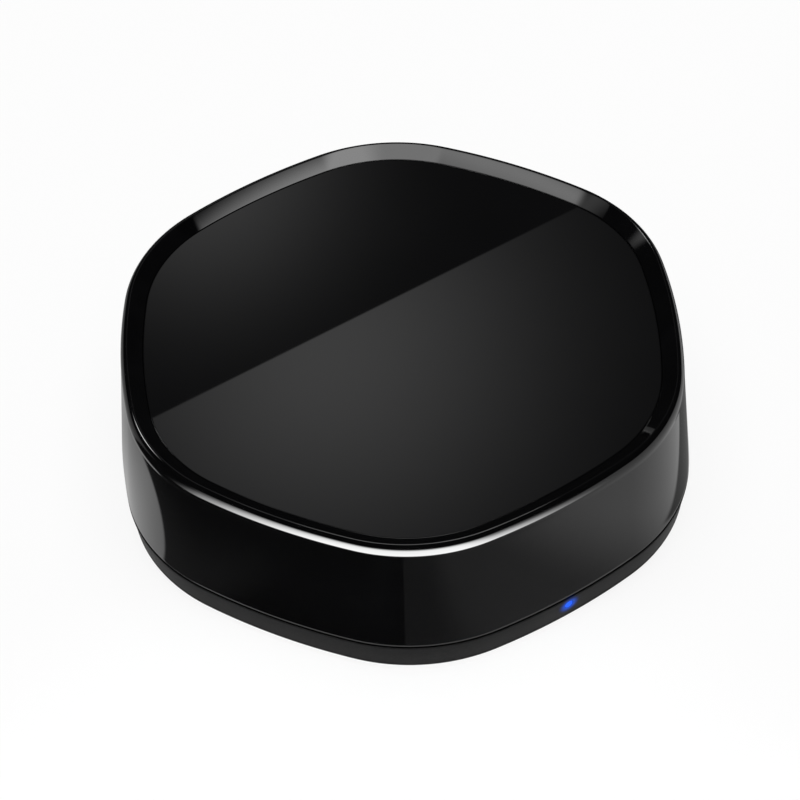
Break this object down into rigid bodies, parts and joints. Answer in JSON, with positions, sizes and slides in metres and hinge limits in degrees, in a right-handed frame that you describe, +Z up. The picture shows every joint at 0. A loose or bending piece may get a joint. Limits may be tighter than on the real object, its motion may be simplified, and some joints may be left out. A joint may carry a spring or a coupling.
{
  "type": "smart ir blaster",
  "caption": "Low black hexagonal infrared remote hub with bowed sides, a flat top panel in a raised bezel, a blue status light, a micro USB socket and a reset button.",
  "frame": {"origin": "middle of the housing in plan, on the plane under the rubber feet", "axes": "+Z up through the top panel; -Y out of the side with the status light; +Y out of the side with the socket and the button; +X towards a corner"},
  "size_m": [0.0816, 0.0784, 0.0232],
  "materials": {
    "smoked_panel": "smoked, infrared-clear, high gloss",
    "adhesive": "double-sided foam tape",
    "glossy_shell": "piano black, high gloss",
    "matte_base": "fine spark-eroded texture",
    "zinc_screw": "bright zinc plate",
    "rubber": "matte",
    "label": "blank silver-grey film",
    "blue_light": "clear, lit blue",
    "button_plastic": "satin",
    "board_laminate": "green solder mask",
    "socket_steel": "nickel plate",
    "black_resin": "moulded",
    "gold_plating": "flash gold",
    "plunger_plastic": "satin",
    "emitter_resin": "clear blue epoxy",
    "tinned_lead": "tinned",
    "receiver_resin": "dark filter epoxy",
    "module_laminate": "blue solder mask",
    "shield_steel": "tinned steel sheet",
    "copper_trace": "mask over copper",
    "capacitor_aluminium": "satin",
    "resistor_glaze": "glazed",
    "capacitor_ceramic": "fired",
    "led_body": "diffuse resin",
    "foam": "closed-cell foam",
    "solder": "bright"
  },
  "bodies": {
    "housing": {"top_panel": "smoked_panel", "panel_adhesive": "adhesive", "upper_shell": "glossy_shell", "base_cover": "matte_base", "shell_screws": "zinc_screw", "rubber_feet": "rubber", "underside_label": "label", "light_pipe": "blue_light", "main_board": "board_laminate", "board_screws": "zinc_screw", "usb_socket_shell": "socket_steel", "usb_socket_tongue": "black_resin", "usb_socket_contacts": "gold_plating", "reset_switch_body": "black_resin", "reset_switch_cover": "socket_steel", "reset_switch_dome": "socket_steel", "ir_emitter_1": "emitter_resin", "ir_emitter_2": "emitter_resin", "ir_emitter_3": "emitter_resin", "ir_emitter_4": "emitter_resin", "ir_emitter_5": "emitter_resin", "ir_emitter_6": "emitter_resin", "ir_emitter_top": "emitter_resin", "ir_emitter_leads": "tinned_lead", "ir_receiver": "receiver_resin", "ir_receiver_leads": "tinned_lead", "radio_module_board": "module_laminate", "radio_module_shield": "shield_steel", "radio_module_antenna": "copper_trace", "radio_module_pads": "gold_plating", "voltage_regulator": "black_resin", "voltage_regulator_leads": "tinned_lead", "capacitor_cans": "capacitor_aluminium", "capacitor_bases": "black_resin", "input_diode": "black_resin", "input_diode_leads": "tinned_lead", "driver_transistors": "black_resin", "driver_transistor_leads": "tinned_lead", "chip_resistors": "resistor_glaze", "chip_capacitors": "capacitor_ceramic", "chip_end_caps": "tinned_lead", "indicator_led": "led_body", "indicator_gasket": "foam", "solder_joints": "solder"},
    "button": {"reset_button": "button_plastic", "reset_switch_plunger": "plunger_plastic"}
  },
  "joints": [
    {"name": "reset_press", "type": "slide", "parent": "housing", "child": "button", "axis": [0, -1, 0], "range_m": [0, 0.00035], "stiffness_N_per_m": 2000, "deforming": ["reset_switch_dome"]}
  ]
}
